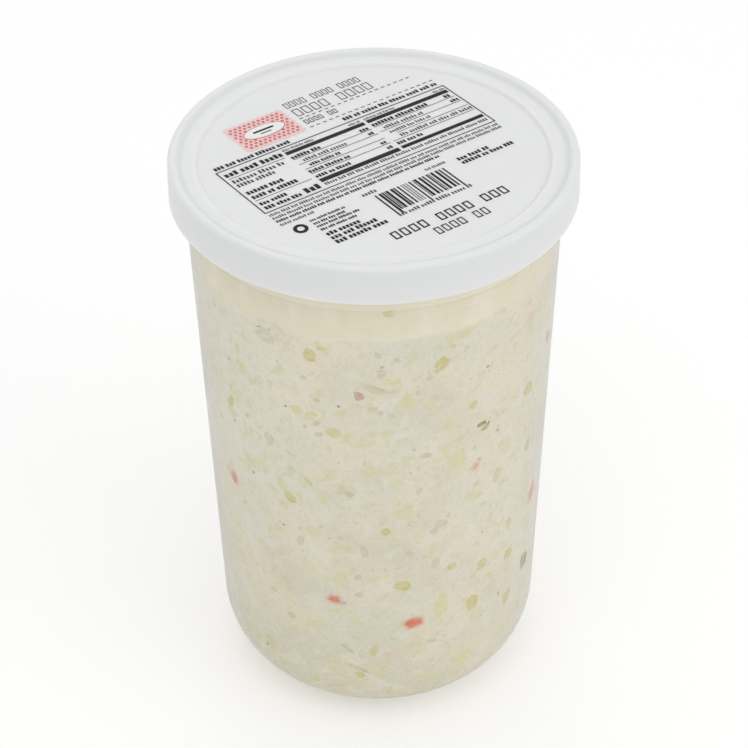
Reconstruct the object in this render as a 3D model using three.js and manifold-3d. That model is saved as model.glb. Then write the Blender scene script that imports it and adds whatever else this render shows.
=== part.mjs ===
// A tall round deli tub of coleslaw with its press-on lid.
// Millimetres, +Z up. The origin is the centre of the ring that the tub stands on.

import * as THREE from 'three';
import { mergeVertices } from 'three/addons/utils/BufferGeometryUtils.js';
import Module from 'manifold-3d';

const wasm = await Module();
wasm.setup();

// Driving sizes of the whole
const overallHeight = 224.7;
const roundSegments = 64;
const pieceGap = 0.3;
const mergeDistance = 1e-4;

// Tub: a thin tapered wall on a rounded corner, with a flange under the lid's edge
const tubWall = 1.0;
const baseRadius = 60.9;
const cornerRadius = 28.4;
const neckRadius = 66.05;
const neckHeight = 210.9;
const footInnerRadius = 28.2;
const baseRecess = 1.5;
const bandHeight = 203.6;
const bandStep = 0.35;
const flangeRadius = 69.7;
const flangeThickness = 1.2;
const flangeLip = 3.2;

// Lid: skirt, round shoulder, top edge, a ring one step down and a panel two steps down
const lidWall = 0.9;
const lidRadius = 71;
const skirtBottomRadius = 71.45;
const shoulderRadius = 2.6;
const ringOuterRadius = 66.4;
const ringDrop = 1.4;
const panelStepRadius = 61.7;
const panelRadius = 60.6;
const panelDrop = 2.6;

// Coleslaw: a core a little inside the wall, and chopped bits fused on it out to the wall
const slawLevel = 191.7;
const slawMound = 4;
const slawRoughness = 1.3;
const slawHeadroom = 16;
const waveCount = 7;
const waveLength = { least: 14, most: 34 };
const coreSetback = 1.0;
const coreUnevenness = 0.4;
const coreFootInset = 3.0;
const coreTopShares = [0.8, 0.55, 0.28, 0];
const coreSegments = 40;
const cornerRows = 4;
const sideRows = 7;
const sideBits = 106;
const topBits = 26;
const bitLength = { least: 4, most: 9 };
const bitAspect = { least: 0.5, most: 0.85 };
const bitThickness = { least: 2.2, most: 3.4 };
const bitJitter = 0.2;
const bitTilt = 0.35;
const lowestBit = 8;
const highestBit = 188.7;
const bitWander = 0.25;
const topWander = 0.3;
const topMargin = 8;
const cornerStart = -66;

const ringTop = overallHeight - ringDrop;
const panelTop = overallHeight - panelDrop;
const rimTop = ringTop - lidWall - pieceGap;
const cornerCentre = baseRadius - cornerRadius;
const draft = Math.atan2(neckRadius - baseRadius, neckHeight - cornerRadius);
const draftDegrees = THREE.MathUtils.radToDeg(draft);
const goldenAngle = Math.PI * (3 - Math.sqrt(5));

// Repeatable random numbers from 0 to 1
function seededRandom(seed) {
  let state = seed;
  return () => {
    state = (Math.imul(state, 1664525) + 1013904223) >>> 0;
    return state / 2 ** 32;
  };
}

const random = seededRandom(77);

function randomBetween(range) {
  return THREE.MathUtils.lerp(range.least, range.most, random());
}

// Radius of the tub's wall at height z, moved outwards by offset
function wallRadius(z, offset) {
  return cornerCentre + (cornerRadius + offset) / Math.cos(draft) + (z - cornerRadius) * Math.tan(draft);
}

// Points on an arc round (centreRadius, centreZ), in degrees from the outward direction
function arc(centreRadius, centreZ, radius, fromDegrees, toDegrees, steps) {
  const points = [];
  for (let i = 0; i <= steps; i += 1) {
    const angle = THREE.MathUtils.degToRad(THREE.MathUtils.lerp(fromDegrees, toDegrees, i / steps));
    const point = new THREE.Vector2(centreRadius + radius * Math.cos(angle), centreZ + radius * Math.sin(angle));
    points.push(point);
  }
  return points;
}

// A profile of radius and height turned round the Z axis
function turned(points, segments) {
  return new THREE.LatheGeometry(points, segments).rotateX(Math.PI / 2);
}

function point(radius, z) {
  return new THREE.Vector2(radius, z);
}

function tubGeometry() {
  const flangeUnder = rimTop - flangeThickness;
  const lipBottom = rimTop - flangeLip;
  const lipInner = flangeRadius - flangeThickness;
  const recessRadius = footInnerRadius - baseRecess;
  return turned([
    point(0, baseRecess),
    point(recessRadius, baseRecess),
    point(footInnerRadius, 0),
    ...arc(cornerCentre, cornerRadius, cornerRadius, -90, -draftDegrees, 8),
    point(wallRadius(bandHeight, 0), bandHeight),
    point(wallRadius(bandHeight, bandStep), bandHeight + bandStep),
    point(wallRadius(flangeUnder, bandStep), flangeUnder),
    point(lipInner, flangeUnder),
    point(lipInner, lipBottom),
    point(flangeRadius, lipBottom),
    point(flangeRadius, rimTop),
    point(wallRadius(rimTop, -tubWall), rimTop),
    ...arc(cornerCentre, cornerRadius, cornerRadius - tubWall, -draftDegrees, -90, 7),
    point(footInnerRadius, tubWall),
    point(recessRadius, baseRecess + tubWall),
    point(0, baseRecess + tubWall),
  ], roundSegments);
}

function lidGeometry() {
  const shoulderCentre = lidRadius - shoulderRadius;
  const shoulderZ = overallHeight - shoulderRadius;
  const stepShift = lidWall / 2;
  return turned([
    point(0, panelTop - lidWall),
    point(panelRadius + stepShift, panelTop - lidWall),
    point(panelStepRadius + stepShift, ringTop - lidWall),
    point(ringOuterRadius - stepShift, ringTop - lidWall),
    ...arc(shoulderCentre, shoulderZ, shoulderRadius - lidWall, 100, 0, 3),
    point(skirtBottomRadius - lidWall, neckHeight),
    point(skirtBottomRadius, neckHeight),
    ...arc(shoulderCentre, shoulderZ, shoulderRadius, 0, 90, 4),
    point(ringOuterRadius, ringTop),
    point(panelStepRadius, ringTop),
    point(panelRadius, panelTop),
    point(0, panelTop),
  ], roundSegments);
}

// A closed geometry as a solid that can be joined and cut
function solidOf(geometry) {
  const bare = geometry.clone();
  bare.deleteAttribute('normal');
  bare.deleteAttribute('uv');
  const merged = mergeVertices(bare, mergeDistance);
  return new wasm.Manifold(new wasm.Mesh({
    numProp: 3,
    vertProperties: new Float32Array(merged.attributes.position.array),
    triVerts: new Uint32Array(merged.index.array),
  }));
}

function geometryOf(solid) {
  const mesh = solid.getMesh();
  const geometry = new THREE.BufferGeometry();
  geometry.setAttribute('position', new THREE.BufferAttribute(mesh.vertProperties, 3));
  geometry.setIndex(new THREE.BufferAttribute(mesh.triVerts, 1));
  geometry.computeVertexNormals();
  return geometry;
}

// The space that the coleslaw may fill: the tub's inside, less the gap, open upwards
function slawLimit() {
  const floor = baseRecess + tubWall + pieceGap;
  const radius = cornerRadius - tubWall - pieceGap;
  const startDegrees = -THREE.MathUtils.radToDeg(Math.asin((cornerRadius - floor) / radius));
  const top = slawLevel + slawHeadroom;
  return solidOf(turned([
    point(0, floor),
    ...arc(cornerCentre, cornerRadius, radius, startDegrees, -draftDegrees, 7),
    point(wallRadius(top, -tubWall - pieceGap), top),
    point(0, top),
  ], roundSegments));
}

// Slow unevenness from -1 to 1: the mean of a few plane waves with seeded directions
const waves = Array.from({ length: waveCount }, () => ({
  direction: new THREE.Vector3(random() - 0.5, random() - 0.5, random() - 0.5).normalize(),
  length: randomBetween(waveLength),
  phase: random() * Math.PI * 2,
}));

function unevenness(position) {
  const sum = waves.reduce((total, wave) => {
    const turns = position.dot(wave.direction) / wave.length;
    return total + Math.sin(turns * Math.PI * 2 + wave.phase);
  }, 0);
  return sum / Math.sqrt(waves.length);
}

// Height of the coleslaw's top at a distance from the axis
function slawTop(x, y) {
  const reach = Math.hypot(x, y) / wallRadius(slawLevel, -tubWall);
  const rough = unevenness(new THREE.Vector3(x, y, slawLevel));
  return slawLevel + slawMound * (1 - reach * reach) + slawRoughness * rough;
}

// The core: rings round the corner, up the side and in over the top, each vertex moved by the unevenness
function slawCore() {
  const floor = baseRecess + tubWall + pieceGap;
  const setback = -tubWall - pieceGap - coreSetback;
  const side = arc(cornerCentre, cornerRadius, cornerRadius + setback, cornerStart, -draftDegrees, cornerRows);
  for (let row = 1; row <= sideRows; row += 1) {
    const z = THREE.MathUtils.lerp(cornerRadius, slawLevel, row / sideRows);
    side.push(point(wallRadius(z, setback), z));
  }
  const edge = side[side.length - 1].x;
  const middle = coreTopShares.map((share) => point(edge * share, slawLevel));
  const foot = [point(0, floor), point(side[0].x - coreFootInset, floor)];
  const geometry = turned([...foot, ...side, ...middle], coreSegments);
  const positions = geometry.attributes.position;
  const place = new THREE.Vector3();
  for (let i = 0; i < positions.count; i += 1) {
    place.fromBufferAttribute(positions, i);
    const isTop = place.z > slawLevel - 0.01;
    const isSide = place.z > side[0].y + 0.01;
    if (isSide) {
      const inward = 1 - (coreSetback * coreUnevenness * (1 + unevenness(place))) / cornerCentre;
      place.x *= inward;
      place.y *= inward;
    }
    if (isTop) {
      place.z = slawTop(place.x, place.y);
    }
    positions.setXYZ(i, place.x, place.y, place.z);
  }
  return solidOf(geometry);
}

// One chopped bit: an uneven low pebble of the drawn length, width and thickness
function bitSolid(matrix) {
  const bare = new THREE.IcosahedronGeometry(0.5, 0);
  bare.deleteAttribute('normal');
  bare.deleteAttribute('uv');
  const bit = mergeVertices(bare, mergeDistance);
  const positions = bit.attributes.position;
  const length = randomBetween(bitLength);
  const width = length * randomBetween(bitAspect);
  const thickness = randomBetween(bitThickness);
  for (let i = 0; i < positions.count; i += 1) {
    const swell = 1 + bitJitter * (2 * random() - 1);
    const x = positions.getX(i) * length * swell;
    const y = positions.getY(i) * width * swell;
    const z = positions.getZ(i) * thickness;
    positions.setXYZ(i, x, y, z);
  }
  return solidOf(bit.applyMatrix4(matrix));
}

// The matrix of a bit at a place, its flat side square to the direction, spun and tilted
function bitMatrix(place, direction) {
  const facing = new THREE.Quaternion().setFromUnitVectors(new THREE.Vector3(0, 0, 1), direction);
  const spin = new THREE.Euler(bitTilt * (random() - 0.5), bitTilt * (random() - 0.5), random() * Math.PI * 2);
  facing.multiply(new THREE.Quaternion().setFromEuler(spin));
  return new THREE.Matrix4().compose(place, facing, new THREE.Vector3(1, 1, 1));
}

// A place a little inside the wall at height z, with the direction of the wall there
function besideWall(z, angle) {
  const setback = -tubWall - pieceGap - coreSetback;
  const reach = cornerRadius + setback;
  const rise = Math.min((z - cornerRadius) / reach, -Math.sin(draft));
  const inCorner = z < cornerRadius;
  const radius = inCorner ? cornerCentre + reach * Math.sqrt(1 - rise * rise) : wallRadius(z, setback);
  const turnedAngle = new THREE.Vector3(Math.cos(angle), Math.sin(angle), 0);
  const outward = turnedAngle.clone().multiplyScalar(Math.sqrt(1 - rise * rise)).setZ(rise);
  return { place: turnedAngle.multiplyScalar(radius).setZ(z), outward };
}

// Bits pressed to the wall, spread evenly up a spiral of golden angles
function sideBitSolids() {
  return Array.from({ length: sideBits }, (_, i) => {
    const z = THREE.MathUtils.lerp(lowestBit, highestBit, (i + random()) / sideBits);
    const angle = i * goldenAngle + bitWander * (random() - 0.5);
    const beside = besideWall(z, angle);
    return bitSolid(bitMatrix(beside.place, beside.outward));
  });
}

// Bits lying on the top, spread evenly over the disc
function topBitSolids() {
  return Array.from({ length: topBits }, (_, i) => {
    const radius = (wallRadius(slawLevel, 0) - topMargin) * Math.sqrt((i + 0.5) / topBits);
    const angle = i * goldenAngle + topWander * random();
    const x = radius * Math.cos(angle);
    const y = radius * Math.sin(angle);
    return bitSolid(bitMatrix(new THREE.Vector3(x, y, slawTop(x, y)), new THREE.Vector3(0, 0, 1)));
  });
}

function coleslawGeometry() {
  const bits = wasm.Manifold.union([...sideBitSolids(), ...topBitSolids()]);
  const whole = slawCore().add(bits).intersect(slawLimit());
  const pieces = whole.decompose().sort((a, b) => b.volume() - a.volume());
  return geometryOf(pieces[0]);
}

function namedMesh(name, geometry, material) {
  const mesh = new THREE.Mesh(geometry, material);
  mesh.name = name;
  return mesh;
}

const milkyPlastic = new THREE.MeshStandardMaterial({
  color: 0xe9e9e2,
  roughness: 0.35,
  metalness: 0,
  transparent: true,
  opacity: 0.3,
});
const whitePlastic = new THREE.MeshStandardMaterial({ color: 0xf1f2f2, roughness: 0.5, metalness: 0 });
const creamedCabbage = new THREE.MeshStandardMaterial({ color: 0xe6e0c4, roughness: 0.6, metalness: 0 });

const coleslawTub = new THREE.Group();
coleslawTub.add(namedMesh('tub', tubGeometry(), milkyPlastic));
coleslawTub.add(namedMesh('lid', lidGeometry(), whitePlastic));
coleslawTub.add(namedMesh('coleslaw', coleslawGeometry(), creamedCabbage));

export default coleslawTub;
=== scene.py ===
import math

import bpy
import numpy as np
from mathutils import Matrix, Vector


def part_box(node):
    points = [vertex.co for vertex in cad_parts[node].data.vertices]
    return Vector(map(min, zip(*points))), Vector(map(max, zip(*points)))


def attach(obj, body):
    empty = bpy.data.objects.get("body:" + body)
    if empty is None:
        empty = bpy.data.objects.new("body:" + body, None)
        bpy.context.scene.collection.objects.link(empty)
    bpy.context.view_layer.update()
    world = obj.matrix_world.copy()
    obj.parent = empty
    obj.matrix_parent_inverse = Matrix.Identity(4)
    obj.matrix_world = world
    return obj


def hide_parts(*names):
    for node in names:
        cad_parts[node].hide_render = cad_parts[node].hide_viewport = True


# A tall deli tub of creamy coleslaw with its press-on lid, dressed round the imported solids.
# Metres, Z up, the tub stands on z = 0.

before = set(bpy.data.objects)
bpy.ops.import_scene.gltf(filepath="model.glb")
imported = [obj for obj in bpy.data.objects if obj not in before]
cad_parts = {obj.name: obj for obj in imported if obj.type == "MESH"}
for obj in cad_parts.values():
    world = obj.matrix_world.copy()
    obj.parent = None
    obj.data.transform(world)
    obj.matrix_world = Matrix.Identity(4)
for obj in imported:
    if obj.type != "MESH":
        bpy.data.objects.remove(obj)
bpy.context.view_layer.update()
mm = 0.001
lidLow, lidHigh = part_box("lid")
tubLow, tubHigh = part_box("tub")
lidTop = lidHigh[2]
skirtBottom = lidLow[2]
print("frame loaded, whole height", round(lidTop / mm, 1), "mm")

# Camera: on the -Y side, looking down on the tub, slightly rolled. The picture is square, its width in pixels
view = {
    "back": 642.8 * mm,
    "height": 632.3 * mm,
    "downTilt": 38.20,
    "turn": 0.072,
    "roll": 0.693,
    "lens": 105.88,
    "sensor": 36.0,
    "picture": 748,
    "clip": (10 * mm, 50.0),
}


def cameraAxes():
    # columns right, forward and up: the turn about Z, then the tilt about X, then the roll about Y
    turn = Matrix.Rotation(math.radians(view["turn"]), 3, "Z")
    tilt = Matrix.Rotation(math.radians(-view["downTilt"]), 3, "X")
    roll = Matrix.Rotation(math.radians(view["roll"]), 3, "Y")
    return np.array(turn @ tilt @ roll)


def makeCamera():
    # its matrix has right, up and backwards as columns, and then its place
    right, forward, up = cameraAxes().T
    data = bpy.data.cameras.new("camera")
    data.lens = view["lens"]
    data.sensor_width = view["sensor"]
    data.clip_start, data.clip_end = view["clip"]
    camera = bpy.data.objects.new("camera", data)
    place = np.eye(4)
    place[:3, 0], place[:3, 1], place[:3, 2] = right, up, -forward
    place[:3, 3] = (0, -view["back"], view["height"])
    camera.matrix_world = Matrix(place)
    bpy.context.scene.collection.objects.link(camera)
    bpy.context.scene.camera = camera
    print("camera set, lens", view["lens"], "mm")


# each soft light has a place, a size and a power
studio = {
    "world": 0.82,
    "lights": {
        "key": ((1.3, -0.9, 1.3), 1.6, 5.0),
        "rear": ((-0.2, 1.2, 1.5), 1.2, 2.0),
        "over": ((-0.12, -0.55, 1.3), 0.7, 1.8),
    },
    "floorSize": 3.0,
    "floorDrop": 0.1 * mm,
    "floorColour": (0.7, 0.7, 0.7, 1),
    "floorRoughness": 0.9,
    "floorGlow": 0.31,
}


def softBox(name, place, size, power):
    # a round area light that faces the middle of the floor
    data = bpy.data.lights.new(name, "AREA")
    data.shape = "DISK"
    data.size = size
    data.energy = power
    box = bpy.data.objects.new(name, data)
    box.location = place
    away = Matrix.Translation(place).translation
    box.rotation_mode = "QUATERNION"
    box.rotation_quaternion = away.to_track_quat("Z", "Y")
    bpy.context.scene.collection.objects.link(box)


def makeStudio():
    # even white light from all round, the soft lights and a pale floor
    world = bpy.data.worlds.new("studio")
    world.use_nodes = True
    background = world.node_tree.nodes["Background"]
    background.inputs["Color"].default_value = (1, 1, 1, 1)
    background.inputs["Strength"].default_value = studio["world"]
    bpy.context.scene.world = world
    for name, (place, size, power) in studio["lights"].items():
        softBox(name, place, size, power)
    half, low = studio["floorSize"] / 2, -studio["floorDrop"]
    corners = [(-half, -half, low), (half, -half, low), (half, half, low), (-half, half, low)]
    mesh = bpy.data.meshes.new("floor")
    mesh.from_pydata(corners, [], [(0, 1, 2, 3)])
    floor = bpy.data.objects.new("floor", mesh)
    bpy.context.scene.collection.objects.link(floor)
    # a lit table, so that the shadow under the tub stays faint
    mesh.materials.append(finished(newMaterial("floorPaper"), {
        "Base Color": studio["floorColour"],
        "Roughness": studio["floorRoughness"],
        "Emission Color": (1, 1, 1, 1),
        "Emission Strength": studio["floorGlow"],
    }))
    bpy.context.scene.view_settings.view_transform = "Standard"
    print("studio set, with", len(studio["lights"]), "lights")


# Small helpers for node materials


def newMaterial(name):
    # a new material with its node tree and its shader at hand
    material = bpy.data.materials.new(name)
    material.use_nodes = True
    tree = material.node_tree
    return {"material": material, "tree": tree, "shader": tree.nodes["Principled BSDF"]}


def addNode(tree, kind, **values):
    # a node with its inputs set: a value that is a socket is linked, any other becomes the default
    node = tree.nodes.new(kind)
    for name, value in values.items():
        setInput(tree, node, name, value)
    return node


def setInput(tree, node, name, value):
    # an input by its name or number
    socket = node.inputs[name]
    if isinstance(value, bpy.types.NodeSocket):
        tree.links.new(value, socket)
    else:
        socket.default_value = value


def finished(made, values):
    # a new material once its shader's inputs are set
    for name, value in values.items():
        setInput(made["tree"], made["shader"], name, value)
    return made["material"]


def objectPoints(tree):
    # the place on the object in metres, where the patterns are drawn
    return tree.nodes.new("ShaderNodeTexCoord").outputs["Object"]


def noise(tree, points, size, detail=2.0, roughness=0.5, distortion=0.0):
    # cloudy value from 0 to 1 whose blobs are about size across
    node = addNode(
        tree, "ShaderNodeTexNoise", Vector=points, Scale=0.5 / size, Detail=detail,
        Roughness=roughness, Distortion=distortion,
    )
    return node.outputs["Fac"]


def stretched(tree, points, scale, turn=(0, 0, 0)):
    # the points turned and then squeezed, so that a pattern on them runs in streaks
    turned = addNode(tree, "ShaderNodeMapping", Vector=points, Rotation=turn)
    squeezed = addNode(tree, "ShaderNodeMapping", Vector=turned.outputs["Vector"], Scale=scale)
    return squeezed.outputs["Vector"]


def ramp(tree, value, start, end, low=0.0, high=1.0):
    # low below start, high above end, and a smooth step between
    limits = {"From Min": start, "From Max": end, "To Min": low, "To Max": high}
    node = addNode(tree, "ShaderNodeMapRange", Value=value, **limits)
    node.interpolation_type = "SMOOTHSTEP"
    return node.outputs["Result"]


def mixColour(tree, amount, first, second):
    # the first colour where the amount is 0 and the second where it is 1. Sockets 6 and 7 are colours
    node = tree.nodes.new("ShaderNodeMix")
    node.data_type = "RGBA"
    for number, value in ((0, amount), (6, first), (7, second)):
        setInput(tree, node, number, value)
    return node.outputs[2]


def calculate(tree, kind, first, second):
    # one step of arithmetic
    node = tree.nodes.new("ShaderNodeMath")
    node.operation = kind
    setInput(tree, node, 0, first)
    setInput(tree, node, 1, second)
    return node.outputs[0]


def pointValue(tree, name):
    # a value that the mesh carries at each of its points
    node = tree.nodes.new("ShaderNodeAttribute")
    node.attribute_name = name
    return node.outputs["Fac"]


def bump(tree, height, depth, strength):
    # the shading normal of a relief of that depth
    return addNode(tree, "ShaderNodeBump", Height=height, Strength=strength, Distance=depth).outputs["Normal"]


# Small helpers for meshes


def pieceFrom(name, points, faceBlocks, material, values=None, normals=None):
    # a smooth mesh from an array of points and arrays of faces, with float values and normals per point
    mesh = bpy.data.meshes.new(name)
    mesh.vertices.add(len(points))
    mesh.vertices.foreach_set("co", np.asarray(points, dtype=np.float32).ravel())
    corners = np.concatenate([block.ravel() for block in faceBlocks]).astype(np.int32)
    counts = np.concatenate([np.full(len(block), block.shape[1]) for block in faceBlocks])
    starts = np.concatenate([[0], np.cumsum(counts)[:-1]]).astype(np.int32)
    mesh.loops.add(len(corners))
    mesh.loops.foreach_set("vertex_index", corners)
    mesh.polygons.add(len(counts))
    mesh.polygons.foreach_set("loop_start", starts)
    mesh.update(calc_edges=True)
    mesh.shade_smooth()
    for key, array in (values or {}).items():
        attribute = mesh.attributes.new(key, "FLOAT", "POINT")
        attribute.data.foreach_set("value", np.asarray(array, dtype=np.float32).ravel())
    if normals is not None:
        mesh.normals_split_custom_set_from_vertices(normals.tolist())
    mesh.materials.append(material)
    piece = bpy.data.objects.new(name, mesh)
    bpy.context.scene.collection.objects.link(piece)
    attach(piece, "root")
    print(name, "has", int((counts - 2).sum()), "triangles")
    return piece


straight = math.radians(89.5)
mostOfSide = 0.48


def roundedProfile(corners, steps=5):
    # corners are (radius, height, rounding). A rounding makes an arc that touches both its sides and takes
    # less than half of each: its centre is radius / sin(half) away, on the line that halves the corner
    corners = np.array(corners, dtype=float)
    made = [corners[0, :2]]
    for before, corner, after in zip(corners[:-2], corners[1:-1], corners[2:]):
        toBefore, toAfter = before[:2] - corner[:2], after[:2] - corner[:2]
        lengthBefore, lengthAfter = np.hypot(*toBefore), np.hypot(*toAfter)
        toBefore, toAfter = toBefore / lengthBefore, toAfter / lengthAfter
        half = math.acos(np.clip(toBefore @ toAfter, -1, 1)) / 2
        if corner[2] == 0 or half > straight:
            made.append(corner[:2])
            continue
        reach = min(corner[2] / math.tan(half), mostOfSide * lengthBefore, mostOfSide * lengthAfter)
        radius = reach * math.tan(half)
        middle = (toBefore + toAfter) / np.hypot(*(toBefore + toAfter))
        centre = corner[:2] + middle * radius / math.sin(half)
        start = corner[:2] + toBefore * reach - centre
        end = corner[:2] + toAfter * reach - centre
        sweep = math.pi - 2 * half
        share = np.linspace(0, 1, steps + 1)[:, None]
        arc = (np.sin((1 - share) * sweep) * start + np.sin(share * sweep) * end) / math.sin(sweep)
        made.extend(centre + arc)
    made.append(corners[-1, :2])
    return np.array(made)


def spread(profile, widest):
    # extra points so that no stretch of the profile is longer than widest
    pieces = []
    for start, end in zip(profile[:-1], profile[1:]):
        count = max(1, math.ceil(np.hypot(*(end - start)) / widest))
        pieces.append(start + (end - start) * (np.arange(count) / count)[:, None])
    return np.concatenate(pieces + [profile[-1:]])


def turnedGrid(profile, turns):
    # rows of points (r cos a, r sin a, z) for each profile point but the two on the axis,
    # which are one point each and closed by fans
    angle = np.arange(turns) * 2 * math.pi / turns
    radius, height = profile[1:-1, 0][:, None], profile[1:-1, 1][:, None]
    rows = np.stack([radius * np.cos(angle), radius * np.sin(angle), height + 0 * angle], -1)
    count = rows.shape[0] * turns
    number = np.arange(count).reshape(-1, turns)
    beside = np.roll(number, -1, axis=1)
    quads = np.stack([number[:-1], beside[:-1], beside[1:], number[1:]], -1).reshape(-1, 4)
    first = np.stack([np.full(turns, count), beside[0], number[0]], -1)
    last = np.stack([np.full(turns, count + 1), number[-1], beside[-1]], -1)
    ends = np.array([[0, 0, profile[0, 1]], [0, 0, profile[-1, 1]]])
    return rows, ends, [quads, np.concatenate([first, last])]


def turnedPiece(name, profile, turns, material):
    # the half outline carried once round the axis
    rows, ends, faces = turnedGrid(profile, turns)
    points = np.concatenate([rows.reshape(-1, 3), ends])
    return pieceFrom(name, points, faces, material)


# Tub: thin tapered wall on a rounded corner, closed by a recessed base

tub = {
    "wall": 1.0 * mm,
    "baseRadius": 60.9 * mm,
    "cornerRadius": 28.4 * mm,
    "neckRadius": 66.05 * mm,
    "footInner": 28.2 * mm,
    "baseRecess": 1.5 * mm,
    "baseRounding": 0.8 * mm,
    "bandHeight": 203.6 * mm,
    # the step over the band is bandStep deep and bandSlope times as high
    "bandStep": 0.35 * mm,
    "bandSlope": 3,
    "bandRounding": 0.8 * mm,
    "plainTop": 143.6 * mm,
    "flangeRadius": tubHigh[0],
    "flangeThickness": 1.2 * mm,
    "flangeRounding": 0.5 * mm,
    "insideRounding": 0.4 * mm,
    "flangeLip": 3.2 * mm,
    "lipRounding": 0.3 * mm,
    "rimTop": tubHigh[2],
    "outerSteps": 28,
    "innerSteps": 24,
    "longestStep": 8 * mm,
    "turns": 300,
    "haze": 0.14,
    "hazeAtEdge": 0.90,
    "hazeRise": 4.2,
    "clearCorner": 0.3,
    "clearHeight": 4 * mm,
    "cloudSize": 14 * mm,
    "cloudSteps": (0.35, 0.7),
    "cloud": (0.94, 1.08),
    "colour": (0.54, 0.532, 0.525, 1),
    "roughness": (0.30, 0.39),
    "gloss": 0.35,
    "ior": 1.49,
}
draft = math.atan2(tub["neckRadius"] - tub["baseRadius"], skirtBottom - tub["cornerRadius"])
cornerCentre = tub["baseRadius"] - tub["cornerRadius"]


def wallRadius(height, offset=0.0):
    # radius of the tapered wall at a height, moved outwards by offset
    rise = (height - tub["cornerRadius"]) * math.tan(draft)
    return cornerCentre + (tub["cornerRadius"] + offset) / math.cos(draft) + rise


def cornerArc(radius, start, end, steps):
    # arc round the centre of the tub's corner, angles in degrees from outwards
    angle = np.radians(np.linspace(start, end, steps + 1))
    across, up = radius * np.cos(angle), radius * np.sin(angle)
    return np.stack([cornerCentre + across, tub["cornerRadius"] + up], -1)


def tubProfile():
    # half outline from the axis under the base, up the outside, over the flange and down the inside
    flangeUnder = tub["rimTop"] - tub["flangeThickness"]
    lipBottom = tub["rimTop"] - tub["flangeLip"]
    lipInner = tub["flangeRadius"] - tub["flangeThickness"]
    recessRadius = tub["footInner"] - tub["baseRecess"]
    band, step, wall, plainTop = tub["bandHeight"], tub["bandStep"], tub["wall"], tub["plainTop"]
    base, lip = tub["baseRounding"], tub["lipRounding"]
    draftDegrees = math.degrees(draft)
    underside = roundedProfile([
        (0, tub["baseRecess"], 0),
        (recessRadius, tub["baseRecess"], base),
        (tub["footInner"], 0, base),
        (cornerCentre, 0, 0),
    ])
    outside = roundedProfile([
        (wallRadius(plainTop), plainTop, 0),
        (wallRadius(band), band, tub["bandRounding"]),
        (wallRadius(band, step), band + tub["bandSlope"] * step, tub["bandRounding"]),
        (wallRadius(flangeUnder, step), flangeUnder, tub["flangeRounding"]),
        (lipInner, flangeUnder, tub["insideRounding"]),
        (lipInner, lipBottom, lip),
        (tub["flangeRadius"], lipBottom, lip),
        (tub["flangeRadius"], tub["rimTop"], tub["flangeRounding"]),
        (wallRadius(tub["rimTop"], -wall), tub["rimTop"], tub["insideRounding"]),
        (wallRadius(plainTop, -wall), plainTop, 0),
    ])
    inside = roundedProfile([
        (cornerCentre, wall, 0),
        (tub["footInner"], wall, base),
        (recessRadius, tub["baseRecess"] + wall, base),
        (0, tub["baseRecess"] + wall, 0),
    ])
    outerCorner = cornerArc(tub["cornerRadius"], -90, -draftDegrees, tub["outerSteps"])
    innerCorner = cornerArc(tub["cornerRadius"] - wall, -draftDegrees, -90, tub["innerSteps"])
    whole = np.concatenate([underside[:-1], outerCorner, outside, innerCorner, inside[1:]])
    return spread(whole, tub["longestStep"])


def milkyPlastic():
    # thin haze over what is behind: haze + (hazeAtEdge - haze) * facing ** hazeRise, so thicker where
    # the wall turns away, with less of the rise round the low corner, and all of it a little cloudy
    made = newMaterial("milkyPlastic")
    tree = made["tree"]
    points = objectPoints(tree)
    facing = addNode(tree, "ShaderNodeLayerWeight", Blend=0.5).outputs["Facing"]
    slant = calculate(tree, "POWER", facing, tub["hazeRise"])
    height = addNode(tree, "ShaderNodeSeparateXYZ", Vector=points).outputs["Z"]
    full = tub["hazeAtEdge"] - tub["haze"]
    share = ramp(tree, height, tub["clearHeight"], tub["cornerRadius"], tub["clearCorner"] * full, full)
    haze = calculate(tree, "ADD", calculate(tree, "MULTIPLY", slant, share), tub["haze"])
    clouds = noise(tree, points, tub["cloudSize"], detail=3)
    cloud = ramp(tree, clouds, *tub["cloudSteps"], *tub["cloud"])
    return finished(made, {
        "Base Color": tub["colour"],
        "Alpha": calculate(tree, "MULTIPLY", haze, cloud),
        "Roughness": ramp(tree, cloud, *tub["cloud"], *tub["roughness"]),
        "IOR": tub["ior"],
        "Specular IOR Level": tub["gloss"],
    })


def makeTub():
    piece = turnedPiece("tub_shell", tubProfile(), tub["turns"], milkyPlastic())
    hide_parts("tub")


# Lid: skirt, round shoulder, top edge, a ring one step down and a panel two steps down

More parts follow.
